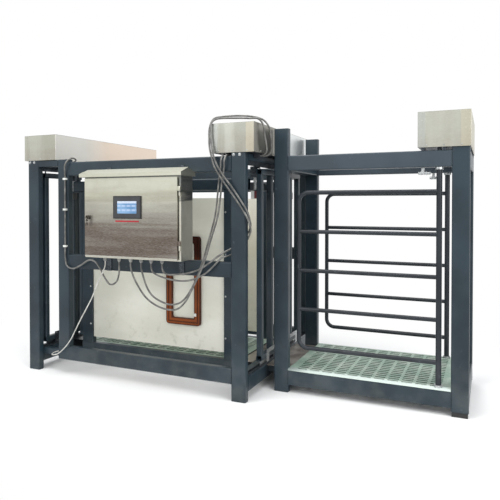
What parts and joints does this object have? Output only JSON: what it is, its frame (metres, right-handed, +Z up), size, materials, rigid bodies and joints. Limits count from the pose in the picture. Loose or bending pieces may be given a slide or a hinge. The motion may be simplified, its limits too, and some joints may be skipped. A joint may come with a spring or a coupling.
{
  "type": "livestock weighing crate",
  "caption": "Walk-through weighing cage hung on load cells between parting sliding doors, with a control cabinet and a sorting run with two swing gates",
  "frame": {"origin": "centre of the footprint's bounding box, on the ground", "axes": "+X along the animals' path from entry to sorting run, +Y from the cabinet side to the back, +Z up"},
  "size_m": [3.136, 1.516, 1.8256],
  "materials": {
    "paint": "semi-gloss paint",
    "stainless": "brushed sheet",
    "galvanised": "zinc plated",
    "panel_plastic": "satin board",
    "floor_plastic": "matte moulded",
    "white_plastic": "matte",
    "dark_plastic": "matte",
    "brown_plastic": "satin",
    "foot_rubber": "matte",
    "screen_glass": "gloss",
    "actuator_metal": "anodised",
    "cable_jacket": "satin"
  },
  "bodies": {
    "frame": {"tie_tubes": "paint", "weigh_posts": "paint", "side_beams": "paint", "cross_beams": "paint", "sorter_posts": "paint", "sorter_side_beams": "paint", "sorter_cross_beams": "paint", "cage_posts": "paint", "cage_top_beams": "paint", "cage_bottom_beams": "paint", "cage_cross_members": "paint", "hanger_plates": "paint", "entry_cover": "stainless", "exit_cover": "stainless", "sorter_cover": "stainless", "cabinet_body": "stainless", "cabinet_roof": "stainless", "base_plates": "galvanised", "overhead_tracks": "galvanised", "bottom_tracks": "galvanised", "load_cells": "galvanised", "load_rods": "galvanised", "cabinet_rails": "galvanised", "gate_bearings": "galvanised", "position_sensors": "galvanised", "frame_bolts": "galvanised", "threshold_plates": "panel_plastic", "front_panel": "panel_plastic", "rear_panel": "panel_plastic", "sorter_floor": "floor_plastic", "cage_floor": "floor_plastic", "stop_blocks": "white_plastic", "cable_clips": "white_plastic", "control_modules": "dark_plastic", "cable_glands": "dark_plastic", "cable_boxes": "dark_plastic", "tag_antenna": "brown_plastic", "levelling_feet": "foot_rubber", "entry_actuators": "actuator_metal", "exit_actuators": "actuator_metal", "gate_motors": "actuator_metal", "sensor_lead": "cable_jacket", "entry_cable": "cable_jacket", "exit_cables": "cable_jacket", "sorter_cables": "cable_jacket"},
    "entry_front_door": {"entry_front_leaf": "paint", "entry_front_carriage": "galvanised"},
    "entry_rear_door": {"entry_rear_leaf": "paint", "entry_rear_carriage": "galvanised"},
    "exit_front_door": {"exit_front_leaf": "paint", "exit_front_carriage": "galvanised"},
    "exit_rear_door": {"exit_rear_leaf": "paint", "exit_rear_carriage": "galvanised"},
    "near_swing_gate": {"near_gate": "paint"},
    "far_swing_gate": {"far_gate": "paint"},
    "cabinet_lid": {"cabinet_door": "stainless", "touch_panel": "dark_plastic", "touch_screen": "screen_glass"},
    "lock_barrel": {"door_lock": "galvanised"}
  },
  "joints": [
    {"name": "entry_front_slide", "type": "slide", "parent": "frame", "child": "entry_front_door", "axis": [0, 1, 0], "range_m": [0, 0.188]},
    {"name": "entry_rear_slide", "type": "slide", "parent": "frame", "child": "entry_rear_door", "axis": [0, 1, 0], "range_m": [-0.188, 0]},
    {"name": "exit_front_slide", "type": "slide", "parent": "frame", "child": "exit_front_door", "axis": [0, 1, 0], "range_m": [-0.176, 0]},
    {"name": "exit_rear_slide", "type": "slide", "parent": "frame", "child": "exit_rear_door", "axis": [0, 1, 0], "range_m": [0, 0.176]},
    {"name": "near_gate_swing", "type": "hinge", "parent": "frame", "child": "near_swing_gate", "pos_m": [1.393, -0.239, 0], "axis": [0, 0, 1], "range_deg": [-42, 0]},
    {"name": "far_gate_swing", "type": "hinge", "parent": "frame", "child": "far_swing_gate", "pos_m": [1.393, 0.431, 0], "axis": [0, 0, 1], "range_deg": [0, 42]},
    {"name": "cabinet_door_swing", "type": "hinge", "parent": "frame", "child": "cabinet_lid", "pos_m": [-0.113, -0.7153, 0], "axis": [0, 0, 1], "range_deg": [0, 110]},
    {"name": "lock_turn", "type": "hinge", "parent": "cabinet_lid", "child": "lock_barrel", "pos_m": [-0.819, -0.724, 1.166], "axis": [0, 1, 0], "range_deg": [-90, 0]}
  ],
  "couplings": [
    {"joint": "entry_rear_slide", "follows": "entry_front_slide", "ratio": -1},
    {"joint": "exit_rear_slide", "follows": "exit_front_slide", "ratio": -1}
  ]
}
